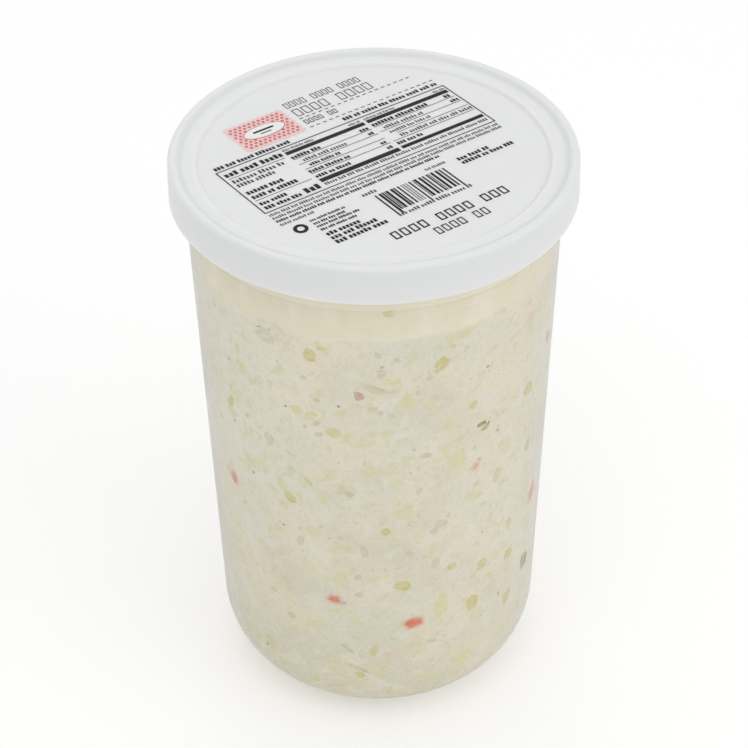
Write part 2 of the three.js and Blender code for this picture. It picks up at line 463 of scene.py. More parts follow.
lid = {
    "wall": 0.9 * mm,
    "radius": 71.0 * mm,
    "skirtRadius": lidHigh[0],
    "skirtRounding": 0.35 * mm,
    "shoulder": 2.6 * mm,
    "crownRounding": 2.4 * mm,
    "ringOuter": 66.4 * mm,
    "ringDrop": 1.4 * mm,
    "stepOuter": 61.7 * mm,
    "stepInner": 60.6 * mm,
    "stepRounding": 1.2 * mm,
    "panelDrop": 2.6 * mm,
    "insideRounding": 0.5 * mm,
    "ringInside": 0.6 * mm,
    "crownInset": 0.3 * mm,
    "arcSteps": 7,
    "longestStep": 6 * mm,
    "turns": 320,
    "colour": (0.785, 0.79, 0.785, 1),
    "warmColour": (0.765, 0.76, 0.74, 1),
    "coolColour": (0.76, 0.77, 0.775, 1),
    # painted shade: the upright skirt is given a greyer colour than the top
    "skirtShadeColour": (0.725, 0.73, 0.732, 1),
    "roughness": (0.35, 0.46),
    "cloudSize": 22 * mm,
    "cloudSteps": (0.4, 0.75),
    "cloudShare": 0.3,
    "grainSize": 0.7 * mm,
    "grainSteps": (0.3, 0.7),
    "scuffSize": 1.2 * mm,
    "scuffStretch": (0.06, 0.06, 1.6),
    "scuffShare": 0.6,
    "reliefDepth": 0.02 * mm,
    "reliefStrength": 0.6,
    "subsurface": 0.6,
    "subsurfaceRadius": (1.0, 0.95, 0.9),
    "subsurfaceDepth": 2.5 * mm,
    "ior": 1.5,
}
panelTop = lidTop - lid["panelDrop"]


def lidProfile():
    # half outline from the axis along the inside, round the skirt's edge and back over the top
    wall, shoulder, inside = lid["wall"], lid["shoulder"], lid["insideRounding"]
    ringTop = lidTop - lid["ringDrop"]
    shift = wall / 2
    crownRadius = lid["radius"] - shoulder
    corners = [
        (0, panelTop - wall, 0),
        (lid["stepInner"] + shift, panelTop - wall, inside),
        (lid["stepOuter"] + shift, ringTop - wall, inside),
        (lid["ringOuter"] - shift, ringTop - wall, lid["ringInside"]),
        (crownRadius - lid["crownInset"], lidTop - wall, inside),
        (lid["radius"] - wall, lidTop - wall, shoulder - wall),
        (lid["skirtRadius"] - wall, skirtBottom, lid["skirtRounding"]),
        (lid["skirtRadius"], skirtBottom, lid["skirtRounding"]),
        (lid["radius"], lidTop, shoulder),
        (crownRadius, lidTop, lid["crownRounding"]),
        (lid["ringOuter"], ringTop, lid["crownRounding"]),
        (lid["stepOuter"], ringTop, lid["stepRounding"]),
        (lid["stepInner"], panelTop, lid["stepRounding"]),
        (0, panelTop, 0),
    ]
    return spread(roundedProfile(corners, lid["arcSteps"]), lid["longestStep"])


def whitePlastic():
    # moulded satin white, cool at the rim and faintly warm in the panel, with painted shade on the shoulder's
    # outside and the skirt, and very low relief
    made = newMaterial("whitePlastic")
    tree = made["tree"]
    points = objectPoints(tree)
    clouds = noise(tree, points, lid["cloudSize"], detail=3)
    cloud = ramp(tree, clouds, *lid["cloudSteps"], 0, lid["cloudShare"])
    colour = mixColour(tree, cloud, lid["colour"], lid["warmColour"])
    length = tree.nodes.new("ShaderNodeVectorMath")
    length.operation = "LENGTH"
    setInput(tree, length, 0, stretched(tree, points, (1, 1, 0)))
    fromAxis = length.outputs["Value"]
    rim = ramp(tree, fromAxis, lid["stepInner"], lid["radius"])
    colour = mixColour(tree, rim, colour, lid["coolColour"])
    # painted shade, greyer over the outside of the shoulder and the skirt
    skirt = ramp(tree, fromAxis, lid["radius"] - lid["shoulder"], lid["radius"])
    grain = noise(tree, points, lid["grainSize"], detail=3, roughness=0.6)
    scuff = noise(tree, stretched(tree, points, lid["scuffStretch"]), lid["scuffSize"])
    height = calculate(tree, "ADD", grain, calculate(tree, "MULTIPLY", scuff, lid["scuffShare"]))
    return finished(made, {
        "Base Color": mixColour(tree, skirt, colour, lid["skirtShadeColour"]),
        "Normal": bump(tree, height, lid["reliefDepth"], lid["reliefStrength"]),
        "Roughness": ramp(tree, grain, *lid["grainSteps"], *lid["roughness"]),
        "Subsurface Weight": lid["subsurface"],
        "Subsurface Radius": lid["subsurfaceRadius"],
        "Subsurface Scale": lid["subsurfaceDepth"],
        "IOR": lid["ior"],
    })


def makeLid():
    piece = turnedPiece("lid_cap", lidProfile(), lid["turns"], whitePlastic())
    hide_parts("lid")


# Coleslaw: dressing and fine cabbage as a body that reaches just into the wall

slaw = {
    "intoWall": 0.85 * mm,
    "level": 191.7 * mm,
    "mound": 3.0 * mm,
    "unevenness": 1.0 * mm,
    "edgeWave": 0.5 * mm,
    # over the outer 1 / smoothEdge of the way in, the top gets uneven and the edge's wave loses this share
    "edgeFade": 0.5,
    "smoothEdge": 8,
    # waves of the top, of its edge and of the line on the wall: seed, longest and shortest
    "topWaves": (5, 26 * mm, 4 * mm),
    "edgeWaves": (6, 40 * mm, 12 * mm),
    "lineWaves": (6, 40 * mm, 9 * mm),
    "turns": 360,
    "sideStep": 2.5 * mm,
    "cornerSteps": 24,
    "topRows": 44,
    "topCrowding": 1.25,
    "filmTop": 213.0 * mm,
    "filmBack": 0.2 * mm,
    "filmThickness": 0.5 * mm,
    "filmRows": 9,
    "filmInside": 2.0 * mm,
    "filmGap": 1.0 * mm,
    "contactStep": 0.4 * mm,
    "contactRows": 6,
    # the painted highlight along the contact line is about this wide
    "contactBlur": 0.9 * mm,
    "grainSize": 1.6 * mm,
    "grainDepth": 0.2 * mm,
    "grainStrength": 0.3,
    "roughness": 0.45,
    "gloss": 0.2,
    # the film's layers and the breaks in the painted highlight line, each with the start, end, least and most
    # of its step
    "contactUneven": 6 * mm,
    "contactSteps": (0.35, 0.65, 0.15, 0.8),
    "smearSize": 5.0 * mm,
    "smearSqueeze": (1, 1, 0.6),
    "smearSteps": (0.5, 0.72, 0, 0.8),
    "mottleSize": 2.2 * mm,
    "mottleSteps": (0.5, 0.7, 0, 0.6),
    # the band of painted light that lifts the lid's shadow, from and to so far above the tub's own band, and
    # its share
    "bandStart": 0.2 * mm,
    "bandFull": 0.9 * mm,
    "bandShare": 0.8,
    # light that the wall adds in front of the food, the share of light that reaches it, and paint's limits
    "veil": (0.0795, 0.0785, 0.078),
    "reach": (0.745, 0.752, 0.752),
    "paintRange": (0.004, 0.95),
    # colours as they look behind the wall, from 0 to 255
    "dressing": (215, 210, 190),
    "pale": (218, 215, 201),
    "warm": (217, 209, 184),
    "cool": (207, 208, 193),
    "cabbage": (206, 202, 162),
    "beige": (203, 198, 179),
    # painted light on the right side
    "paintedLightRight": (222, 216, 198),
    "deep": (204, 200, 181),
    # painted light high up towards the left
    "paintedLightHigh": (222, 219, 203),
    # painted shade towards the bottom
    "low": (200, 194, 166),
    "film": (220, 215, 193),
    "filmPale": (226, 220, 204),
    # painted light, paler where the lid's skirt shades the film
    "filmBandPaintedLight": (231, 225, 204),
    # painted highlight along the line where the food meets the wall
    "highlightLineColour": (222, 217, 201),
}
bodyOffset = slaw["intoWall"] - tub["wall"]


def linear(colour):
    # the usual screen curve undone, from 0 to 255 down to light from 0 to 1
    share = np.asarray(colour) / 255
    return np.where(share < 0.04045, share / 12.92, ((share + 0.055) / 1.055) ** 2.4)


def paint(colour):
    # surface colour that looks like the given one behind the milky wall
    behind = (linear(colour) - np.array(slaw["veil"])) / np.array(slaw["reach"])
    return (*np.clip(behind, *slaw["paintRange"]), 1)


def bodyOutline():
    # half outline from the axis, over the raised middle, round the corner and up the wall to the film's top
    recessTop = tub["baseRecess"] - bodyOffset
    footTop = -bodyOffset
    bottom = roundedProfile([
        (0, recessTop, 0),
        (tub["footInner"] - tub["baseRecess"], recessTop, tub["baseRounding"]),
        (tub["footInner"], footTop, tub["baseRounding"]),
        (cornerCentre, footTop, 0),
    ])
    corner = cornerArc(tub["cornerRadius"] + bodyOffset, -90, -math.degrees(draft), slaw["cornerSteps"])
    side = np.array([(wallRadius(slaw[key], bodyOffset), slaw[key]) for key in ("level", "filmTop")])
    return spread(np.concatenate([bottom[:-1], corner, side]), slaw["sideStep"])


def filmOutline():
    # from a little under the level up the wall as a thin smear of dressing, and back down its inside,
    # with close rows at the level and every fourth row on the inside
    level, step, rows = slaw["level"], slaw["contactStep"], slaw["contactRows"]
    near = level + step * np.arange(-rows, rows + 1)
    height = np.concatenate([near, np.linspace(near[-1], slaw["filmTop"], slaw["filmRows"])[1:]])
    share = np.clip((height - level) / (2 * step), 0, 1)
    outer = np.stack([wallRadius(height, bodyOffset) - share * slaw["filmBack"], height], -1)
    inner = outer[::-4] - (slaw["filmThickness"], 0)
    return outer, inner[inner[:, 1] > level + slaw["filmInside"]]


outline = bodyOutline()
stretch = np.hypot(*np.diff(outline, axis=0).T)
outlineAlong = np.concatenate([[0], np.cumsum(stretch)])
outlineRun = np.gradient(outline, outlineAlong, axis=0)
onWall = outline[:, 1] > tub["cornerRadius"]
levelAlong = np.interp(slaw["level"], outline[onWall, 1], outlineAlong[onWall])


def onBody(angle, along, lift=0.0):
    # point at a length along the half outline, moved out along its normal and turned by the angle
    radius = np.interp(along, outlineAlong, outline[:, 0])
    height = np.interp(along, outlineAlong, outline[:, 1])
    radius = radius + lift * np.interp(along, outlineAlong, outlineRun[:, 1])
    height = height - lift * np.interp(along, outlineAlong, outlineRun[:, 0])
    return np.stack([radius * np.cos(angle), radius * np.sin(angle), height], -1)


def sumOfWaves(points, seed, longest, shortest, count=9):
    # the mean of plane waves with seeded directions, lengths and phases, from about -1 to 1
    draw = np.random.default_rng(seed)
    turn = draw.uniform(0, 2 * math.pi, count)
    length = np.geomspace(longest, shortest, count)
    phase = draw.uniform(0, 2 * math.pi, count)
    along = points[..., 0, None] * np.cos(turn) + points[..., 1, None] * np.sin(turn)
    weight = np.sqrt(length / longest)
    return (np.sin(along * 2 * math.pi / length + phase) * weight).sum(-1) / np.sqrt((weight**2).sum() / 2)


def topHeight(points):
    # the level, a low mound and an uneven surface of chopped bits
    reach = np.hypot(points[..., 0], points[..., 1]) / wallRadius(slaw["level"], bodyOffset)
    uneven = sumOfWaves(points, *slaw["topWaves"])
    edge = sumOfWaves(points, *slaw["edgeWaves"])
    share = np.clip((1 - reach) * slaw["smoothEdge"], 0, 1)
    middle = slaw["mound"] * (1 - reach**2) + slaw["unevenness"] * uneven * share
    return slaw["level"] + middle + slaw["edgeWave"] * edge * (1 - slaw["edgeFade"] * share)


def filmShares(points):
    # 0 on the food and 1 on the film above it, and a soft ridge of 1 along the wavering line between them,
    # where a highlight is painted
    toWall = wallRadius(slaw["level"]) / np.hypot(points[..., 0], points[..., 1])
    wave = sumOfWaves(points[..., :2] * toWall[..., None], *slaw["lineWaves"])
    above = points[..., 2] - slaw["level"] - slaw["edgeWave"] * wave
    return np.clip(above / slaw["contactStep"] + 0.5, 0, 1), np.exp(-((above / slaw["contactBlur"]) ** 2))


# What the dressing's colour is made of, each layer over the ones before
pattern = {
    # broad soft clouds: size in mm, turn, start and end of the step, share, colour
    "clouds": [
        (15, (0, 0, 0), 0.38, 0.64, 0.8, "warm"),
        (12, (0.7, 0.2, 0.9), 0.44, 0.67, 0.8, "cool"),
        (17, (0.3, 1.1, 0.4), 0.45, 0.66, 0.65, "deep"),
    ],
    # painted shade low down, painted light on the right and high on the left, as slow changes across or up
    # the whole tub: two places in mm, and the share at each
    "low": (0, 68, 0.85, 0),
    "paintedLightRight": (0, 60, 0, 0.5),
    "paintedLightHighAcross": (-45, 20, 0.65, 0),
    "paintedLightHighUp": (65, 150, 0, 1),
    # patches: size in mm, start and end of the step, share, colour
    "patches": [
        (4.2, 0.50, 0.68, 0.60, "pale"),
        (3.0, 0.57, 0.69, 0.60, "cabbage"),
        (1.5, 0.56, 0.70, 0.30, "beige"),
        (1.2, 0.56, 0.70, 0.35, "pale"),
        (0.6, 0.58, 0.72, 0.45, "beige"),
        (0.5, 0.58, 0.72, 0.40, "pale"),
    ],
    # fibres lean both ways on the front and back, and both ways on the sides: turn, share, colour
    "fibres": [
        ((0, 0.9, 0), 0.24, "cabbage"),
        ((0, -0.8, 0), 0.40, "pale"),
        ((0.7, 0, 0), 0.40, "beige"),
        ((-1.0, 0, 0), 0.40, "pale"),
    ],
    "fibreSize": 2.0 * mm,
    "fibreStretch": (3.4, 3.4, 0.5),
    "fibreSteps": (0.57, 0.72),
    "patchStretch": (1, 1.15, 0.8),
    "patchDistortion": 0.5,
}


def dressingPattern(tree):
    # creamy colour with soft warm and cool tints, painted shade low down, painted light on the right and high
    # on the left, patches of leaf and stalk and fine fibres
    points = objectPoints(tree)
    place = addNode(tree, "ShaderNodeSeparateXYZ", Vector=points)

    def over(colour, share, key):
        return mixColour(tree, share, colour, paint(slaw[key]))

    def slow(axis, key):
        start, end, first, last = pattern[key]
        return ramp(tree, place.outputs[axis], start * mm, end * mm, first, last)

    colour = paint(slaw["dressing"])
    for size, turn, start, end, share, key in pattern["clouds"]:
        cloud = noise(tree, stretched(tree, points, (1, 1, 1), turn), size * mm, detail=1)
        colour = over(colour, ramp(tree, cloud, start, end, 0, share), key)
    # painted shade towards the bottom, painted light on the right, and painted light high up towards the left
    colour = over(colour, slow("Z", "low"), "low")
    colour = over(colour, slow("X", "paintedLightRight"), "paintedLightRight")
    paintedLightHigh = calculate(tree, "MULTIPLY", slow("Z", "paintedLightHighUp"), slow("X", "paintedLightHighAcross"))
    colour = over(colour, paintedLightHigh, "paintedLightHigh")
    for size, start, end, share, key in pattern["patches"]:
        # each is turned by its own size, so that no two lie alike
        turned = stretched(tree, points, pattern["patchStretch"], (size, 0.9, 0.3 * size))
        patches = noise(tree, turned, size * mm, detail=1, distortion=pattern["patchDistortion"])
        colour = over(colour, ramp(tree, patches, start, end, 0, share), key)
    for turn, share, key in pattern["fibres"]:
        thin = stretched(tree, points, pattern["fibreStretch"], turn)
        fibre = noise(tree, thin, pattern["fibreSize"], detail=1)
        colour = over(colour, ramp(tree, fibre, *pattern["fibreSteps"], 0, share), key)
    return colour


def foodColour(tree):
    # the dressing's pattern below the contact line, the film above it with a band of painted light, and a
    # painted highlight as a paler soft line between
    points = objectPoints(tree)
    smear = noise(tree, stretched(tree, points, slaw["smearSqueeze"]), slaw["smearSize"], detail=3)
    mottle = noise(tree, points, slaw["mottleSize"], detail=3)
    height = addNode(tree, "ShaderNodeSeparateXYZ", Vector=points).outputs["Z"]
    bandStart, bandFull = (tub["bandHeight"] + slaw[key] for key in ("bandStart", "bandFull"))
    film = paint(slaw["film"])
    for share, key in (
        (ramp(tree, smear, *slaw["smearSteps"]), "filmPale"),
        (ramp(tree, mottle, *slaw["mottleSteps"]), "warm"),
        # painted light against the lid's shadow over the tub's band
        (ramp(tree, height, bandStart, bandFull, 0, slaw["bandShare"]), "filmBandPaintedLight"),
    ):
        film = mixColour(tree, share, film, paint(slaw[key]))
    colour = mixColour(tree, pointValue(tree, "film"), dressingPattern(tree), film)
    # a painted highlight along the contact line, broken in places
    uneven = ramp(tree, noise(tree, points, slaw["contactUneven"]), *slaw["contactSteps"])
    line = calculate(tree, "MULTIPLY", pointValue(tree, "highlightLine"), uneven)
    return mixColour(tree, line, colour, paint(slaw["highlightLineColour"]))


def finishFood(made, colour):
    # the moist surface that dressing and bits share
    tree = made["tree"]
    height = noise(tree, objectPoints(tree), slaw["grainSize"], detail=3, roughness=0.6)
    return finished(made, {
        "Base Color": colour,
        "Normal": bump(tree, height, slaw["grainDepth"], slaw["grainStrength"]),
        "Roughness": slaw["roughness"],
        "Specular IOR Level": slaw["gloss"],
    })


def makeDressing():
    # rows of the body: under and up the side, the film's outside and inside, and rings in over the top,
    # each ring at (1 - share ** topCrowding) of the edge, so that they lie closer at the edge
    outer, inner = filmOutline()
    level = slaw["level"]
    side = outline[outline[:, 1] < outer[0, 1] - slaw["filmGap"]]
    edgeRadius = wallRadius(level, bodyOffset) - slaw["filmBack"] - slaw["filmThickness"]
    ring = edgeRadius * (1 - np.linspace(0, 1, slaw["topRows"] + 1) ** slaw["topCrowding"])
    top = np.stack([ring, np.full_like(ring, level)], -1)
    profile = np.concatenate([side, outer, inner, top])
    rows, ends, faces = turnedGrid(profile, slaw["turns"])
    topStart = len(profile) - 1 - len(top)
    rows[topStart:, :, 2] = topHeight(rows)[topStart:]
    ends[1, 2] = topHeight(ends[1])
    # where the film lies and where the painted highlight runs along the contact line
    film, highlightLine = filmShares(rows)
    film[topStart + 1:], highlightLine[topStart + 1:] = 0, 0
    values = {
        "film": np.concatenate([film.ravel(), [0, 0]]),
        "highlightLine": np.concatenate([highlightLine.ravel(), [0, 0]]),
    }
    made = newMaterial("dressing")
    material = finishFood(made, foodColour(made["tree"]))
    points = np.concatenate([rows.reshape(-1, 3), ends])
    piece = pieceFrom("coleslaw_dressing", points, faces, material, values)
    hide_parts("coleslaw")


# Chopped bits pressed to the wall: every bit is a low lens with a soft rim, closed by a point behind.
# A listed place is across, down, length and width in pixels of the camera's picture, turn in degrees and
# strength. The other bits of a kind are drawn, within a part of the way round the tub in degrees.

# from the middle out, each ring's share of the outline and of the soft rim, and how far it is within,
# darkens and stands out, by another row where the rim is a halo. The middle and the point behind are added
lensRings = {
    "outline": (0.5, 0.84, 1.0, 1.0, 1.0),
    "rim": (0.0, 0.0, 0.0, 0.45, 1.0),
    "within": (1.0, 0.9, 0.62, 0.3, 0.0),
    "edge": (0.0, 0.5, 1.0, 0.4, 0.0),
    "lift": (1.0, 0.9, 0.6, 0.1, -0.5),
    "haloLift": (1.0, 0.95, 0.9, 0.75, -0.2),
}

bitDefaults = {
    "around": (0, 360), "corners": 5, "sectors": 14, "core": (0.05, 0.9), "halo": 0, "places": [],
}
bitKinds = {
    "cabbage_bits": {
        "seed": 31, "count": 170,
        "length": (2.6, 7.0), "aspect": (0.45, 0.95), "strength": (0.3, 0.95),
        "ragged": (1.3, 2.2), "cloudy": 0.55, "rim": 1.3,
        "first": (208, 202, 155), "second": (211, 206, 168), "dark": (202, 196, 154), "rimShare": 0.35,
        "places": [
            (348.4, 437, 14, 9, -10, 0.9), (404.5, 403.7, 18, 14, 20, 0.9),
            (450.4, 337.4, 11, 8, 80, 0.95), (462.4, 331.8, 13, 10, 70, 0.9),
            (283.5, 487, 14, 8, -60, 0.8), (368.8, 472.6, 13, 10, 10, 0.75), (394, 473, 22, 12, -15, 0.45),
            (404.5, 514.5, 17, 12, 0, 0.7), (442, 603, 24, 13, 80, 1), (316, 622.4, 12, 8, 0, 0.6),
            (461.5, 660, 15, 10, 20, 0.9), (393, 382, 17, 7, 10, 0.95), (449, 425.4, 14, 7, 20, 1),
            (311.4, 415.2, 10, 10, 0, 0.95), (340.7, 412.6, 10, 6, 25, 1), (388, 434.3, 14, 10, 15, 0.6),
            (476, 612.7, 14, 14, 30, 0.6),
            (324.5, 496.4, 14, 12, 60, 0.6), (313.6, 530.3, 13, 11, 30, 0.7),
            (345.1, 549.7, 11, 10, 0, 0.8), (396, 691.5, 10, 6, 10, 0.9), (277.7, 339.2, 8, 8, 0, 0.9),
            (380.3, 674.5, 12, 8, 0, 0.5), (458, 459, 20, 15, 70, 0.95),
        ],
    },
    "leaf_bits": {
        "seed": 32, "count": 32, "around": (-20, 200),
        "length": (2.2, 5.4), "aspect": (0.5, 0.95), "strength": (0.55, 1.0),
        "ragged": (1.0, 1.6), "cloudy": 0.7, "rim": 0.95,
        "first": (197, 188, 129), "second": (203, 194, 142), "dark": (186, 178, 118), "rimShare": 0.45,
        "places": [
            (308.8, 354.5, 15, 12.5, 80, 1), (442.8, 363.7, 16, 13.5, 70, 1), (402.6, 585.5, 17, 9.5, 3, 1),
            (472.4, 601.8, 17, 11.5, 60, 1), (390, 314.2, 13, 6, 0, 0.6),
            (451.8, 566, 9, 8, 0, 0.9), (481.6, 564.2, 14, 8, 50, 0.8), (385.1, 531.5, 8, 7, 30, 0.85),
            (507.5, 553.3, 12, 7, 75, 0.95), (497.7, 473.5, 15, 8, 80, 0.65),
            (508.7, 521.8, 11, 5, 85, 0.7), (289.5, 497, 18, 8, -55, 0.9), (231, 400.7, 10, 8, 60, 0.95),
            (321.6, 348.4, 9, 3, -5, 0.9), (506.3, 594.5, 18, 6, 80, 0.9), (333, 432.8, 15, 10, -5, 0.6),
            (270, 639.4, 12, 8, -60, 0.5), (307.5, 480.6, 11, 2.5, -50, 0.55), (528, 388, 15, 7, 75, 0.9),
            (527, 444.5, 13, 5, 80, 0.9), (232.3, 411.4, 15, 5, -55, 0.6),
            (360.4, 675, 9, 6, -10, 1),
        ],
    },
    "pepper_bits": {
        "seed": 33, "count": 6, "around": (5, 175), "corners": 4,
        "length": (2.0, 4.6), "aspect": (0.4, 0.8), "strength": (0.35, 0.8),
        "ragged": (0.8, 1.3), "cloudy": 0.75, "core": (0.3, 0.8), "halo": 0.18, "rim": 0.9,
        "first": (128, 127, 68), "second": (183, 180, 132), "dark": (160, 155, 104), "rimShare": 0.5,
        "places": [
            (481.4, 424, 11, 4, 30, 1), (486.2, 426.2, 12, 4, 46, 1),
            (348.8, 649, 15, 3, -48, 0.35), (358.4, 668, 23, 2.8, -25, 0.3),
            (265, 334, 20, 13, -10, 0.22), (263, 327.7, 13, 2.6, -14, 0.85),
            (547.5, 337, 12, 5, 75, 0.7), (523.2, 559.4, 17, 7, 80, 0.9),
        ],
    },
    "carrot_bits": {
        "seed": 34, "count": 8, "around": (5, 175), "sectors": 26,
        "length": (2.4, 4.4), "aspect": (0.4, 0.8), "strength": (0.25, 0.9),
        "ragged": (0.8, 0.6), "cloudy": 0.8, "core": (0.42, 0.72), "halo": 0.6, "rim": 3.4,
        "first": (207, 118, 90), "second": (210, 130, 103), "dark": (198, 110, 86), "rimShare": 0.3,
        "places": [
            (413.8, 622.6, 14, 9.5, 30, 1), (334.9, 599.4, 9, 4.6, -30, 0.95),
            (234.4, 476.4, 12, 4, -64, 0.9), (475.2, 466.5, 7, 2.6, 50, 0.5),
            (479, 459.3, 4, 2.2, 60, 0.35), (531, 491, 18, 2.4, 80, 0.85),
        ],
    },
    "blush_bits": {
        "seed": 35, "count": 5, "around": (0, 180),
        "length": (2.4, 4.8), "aspect": (0.5, 0.9), "strength": (0.4, 0.8),
        "ragged": (1.0, 1.2), "cloudy": 0.6, "rim": 1.6,
        "first": (216, 194, 180), "second": (214, 198, 186), "dark": (212, 192, 178), "rimShare": 0.2,
        "places": [
            (531, 317, 14, 6, 75, 0.8), (222, 311, 10, 9, 0, 0.6), (396, 651.5, 14, 12, 0, 0.5),
            (229.6, 468.6, 9, 6, -60, 1),
        ],
    },
    "onion_bits": {
        "seed": 36, "count": 4, "around": (5, 175), "corners": 4,
        "length": (2.2, 3.6), "aspect": (0.6, 0.95), "strength": (0.5, 0.9),
        "ragged": (0.6, 0.6), "cloudy": 0.85, "core": (0.35, 0.8), "halo": 0.1, "rim": 0.5,
        "first": (190, 166, 154), "second": (200, 178, 164), "dark": (180, 156, 146), "rimShare": 0.5,
        "places": [
            (358.6, 396, 11, 9, -60, 1), (342.2, 602.8, 8, 5, -5, 0.8),
        ],
    },
    "yellow_bits": {
        "seed": 37, "count": 9, "around": (-20, 200), "sectors": 12,
        "length": (1.6, 3.6), "aspect": (0.5, 0.9), "strength": (0.5, 0.9),
        "ragged": (0.9, 1.4), "cloudy": 0.7, "rim": 1.0,
        "first": (202, 190, 138), "second": (209, 198, 151), "dark": (196, 183, 129), "rimShare": 0.4,
        "places": [
            (374.2, 650.3, 11, 7, 75, 0.9), (317.2, 678.9, 5.5, 5.5, 0, 1), (473.4, 405, 10, 8, 30, 0.75),
            (388, 655, 8, 8, 0, 0.5),
        ],
    },
    "moist_drops": {
        "seed": 38, "count": 600, "corners": 0, "sectors": 12,
        "length": (0.9, 3.2), "aspect": (0.55, 0.95), "strength": (0.3, 0.9),
        "ragged": (0.7, 0.9), "cloudy": 0.8, "rim": 0.45,
        "first": (199, 191, 164), "second": (204, 197, 174), "dark": (189, 181, 153), "rimShare": 0.4,
        "places": [
            (381.5, 374.4, 10, 9, 0, 1), (396.8, 360.4, 5.6, 5, 0, 1), (377.7, 355.8, 8, 5, -55, 1),
            (375.5, 390, 20, 8, -12, 0.9), (392, 392.5, 17, 5, 0, 0.5), (372, 409.5, 12, 5, 10, 0.8),
            (380.5, 413, 6, 4.5, -40, 1), (316.5, 400.4, 6.4, 5.6, 0, 1), (426, 455.5, 12, 5.5, 15, 1),
            (348.7, 494, 9, 6, -10, 1), (364.5, 552.1, 14, 7, -65, 0.9), (300.3, 540, 11, 7, 70, 0.9),
            (436, 563, 12, 7, 75, 0.7), (441, 524, 13, 9, 40, 0.7), (434, 531, 9, 7, 0, 0.8),
            (359, 594.5, 7.5, 6, 20, 1), (291.8, 615.1, 8, 7, 0, 0.9),
            (432.4, 640.6, 9, 4, 0, 0.9), (269.3, 438.2, 13, 8, -70, 0.7), (319, 434, 8, 5, 10, 0.9),
            (483.3, 503.6, 7, 4, 35, 0.6), (425.1, 557, 5, 4.5, 0, 0.65), (399.7, 567.9, 7, 2, 5, 1),
            (274, 589, 6.5, 5.5, 0, 0.9), (252, 381, 8, 8, 0, 0.6),
            (270, 383, 5, 7, 0, 0.5), (358, 577, 8, 6, 30, 1),
        ],
    },
    "small_drops": {
        "seed": 39, "count": 1400, "corners": 0, "sectors": 8,
        "length": (0.35, 1.1), "aspect": (0.6, 1.0), "strength": (0.3, 0.9),
        "ragged": (0.5, 0.4), "cloudy": 0.8, "rim": 0.2,
        "first": (199, 192, 167), "second": (203, 196, 176), "dark": (184, 177, 154), "rimShare": 0.5,
    },
    "stalk_bits": {
        "seed": 40, "count": 130, "sectors": 12,
        "length": (2.6, 6.5), "aspect": (0.4, 0.9), "strength": (0.25, 0.7),
        "ragged": (1.3, 2.0), "cloudy": 0.5, "rim": 1.3,
        "first": (221, 217, 201), "second": (218, 213, 198), "dark": (214, 209, 190), "rimShare": 0.4,
        "places": [
            (325, 340, 12, 16, 0, 0.7),
        ],
    },
    "thin_strands": {
        "seed": 41, "count": 200, "corners": 0, "sectors": 10,
        "length": (2.2, 7.5), "aspect": (0.06, 0.14), "strength": (0.25, 0.75),
        "ragged": (0.6, 1.1), "cloudy": 0.4, "rim": 0.25,
        "first": (200, 195, 160), "second": (204, 199, 171), "dark": (193, 187, 150), "rimShare": 0.4,
        "places": [
            (291, 453.5, 17, 2.4, -30, 0.8),
            (515, 335, 15, 2.4, 45, 0.9), (442, 608, 14, 3, 75, 0.9),
        ],
    },
    "pepper_grains": {
        "seed": 42, "count": 110, "corners": 0, "sectors": 7,
        "length": (0.35, 0.75), "aspect": (0.7, 1.0), "strength": (0.5, 1.0),
        "ragged": (0.4, 0.2), "cloudy": 0.9, "core": (0.2, 0.7), "halo": 0.25, "rim": 0.3,
        "first": (160, 150, 134), "second": (184, 178, 160), "dark": (150, 140, 124), "rimShare": 0.3,
        "places": [
            (285.7, 406, 2.4, 2.2, 0, 1), (338.7, 406.4, 3, 2.6, 0, 1), (487.7, 366.6, 2.8, 2.6, 0, 1),
            (229.7, 358.8, 3, 2, -60, 1), (235, 420.5, 3, 2, -60, 1), (253.8, 472, 4.4, 2.6, -50, 1),
            (414, 449.6, 3, 2, 20, 0.8), (283.7, 524.7, 3, 2, -50, 1), (382, 367, 3.4, 2.2, 0, 0.8),
            (498, 593, 4, 2, 65, 1), (268, 643.5, 3.6, 2.2, -60, 1), (497.7, 430, 3, 2, 60, 1),
        ],
    },
}

# how the bits are laid on the body
bitLay = {
    "leastLift": 0.05 * mm,
    "mostLift": 0.13 * mm,
    "behind": 1.1 * mm,
    "areaSteps": 400,
    # lengths along the outline between which bits are drawn, and past which no point goes
    "low": 9 * mm,
    "high": levelAlong - 3.0 * mm,
    "lowest": 1 * mm,
    "highest": outlineAlong[-1] - 0.8 * mm,
    # a drawn bit keeps off a listed one by the clearance and this share of both lengths
    "clearance": 0.4 * mm,
    "lengthShare": 0.42,
    # strengths are share ** faintness, so faint bits are the commoner
    "faintness": 1.6,
    # the soft rim grows by softest - sharpening * strength, up to a share of the bit's length
    "softest": 1.9,
    "sharpening": 1.2,
    "widestRim": 0.9,
    # the least that the wall may face the camera where sizes are worked out from the picture
    "leastFacing": 0.3,
    "searchTurns": 900,
    "searchStep": 0.3 * mm,
}


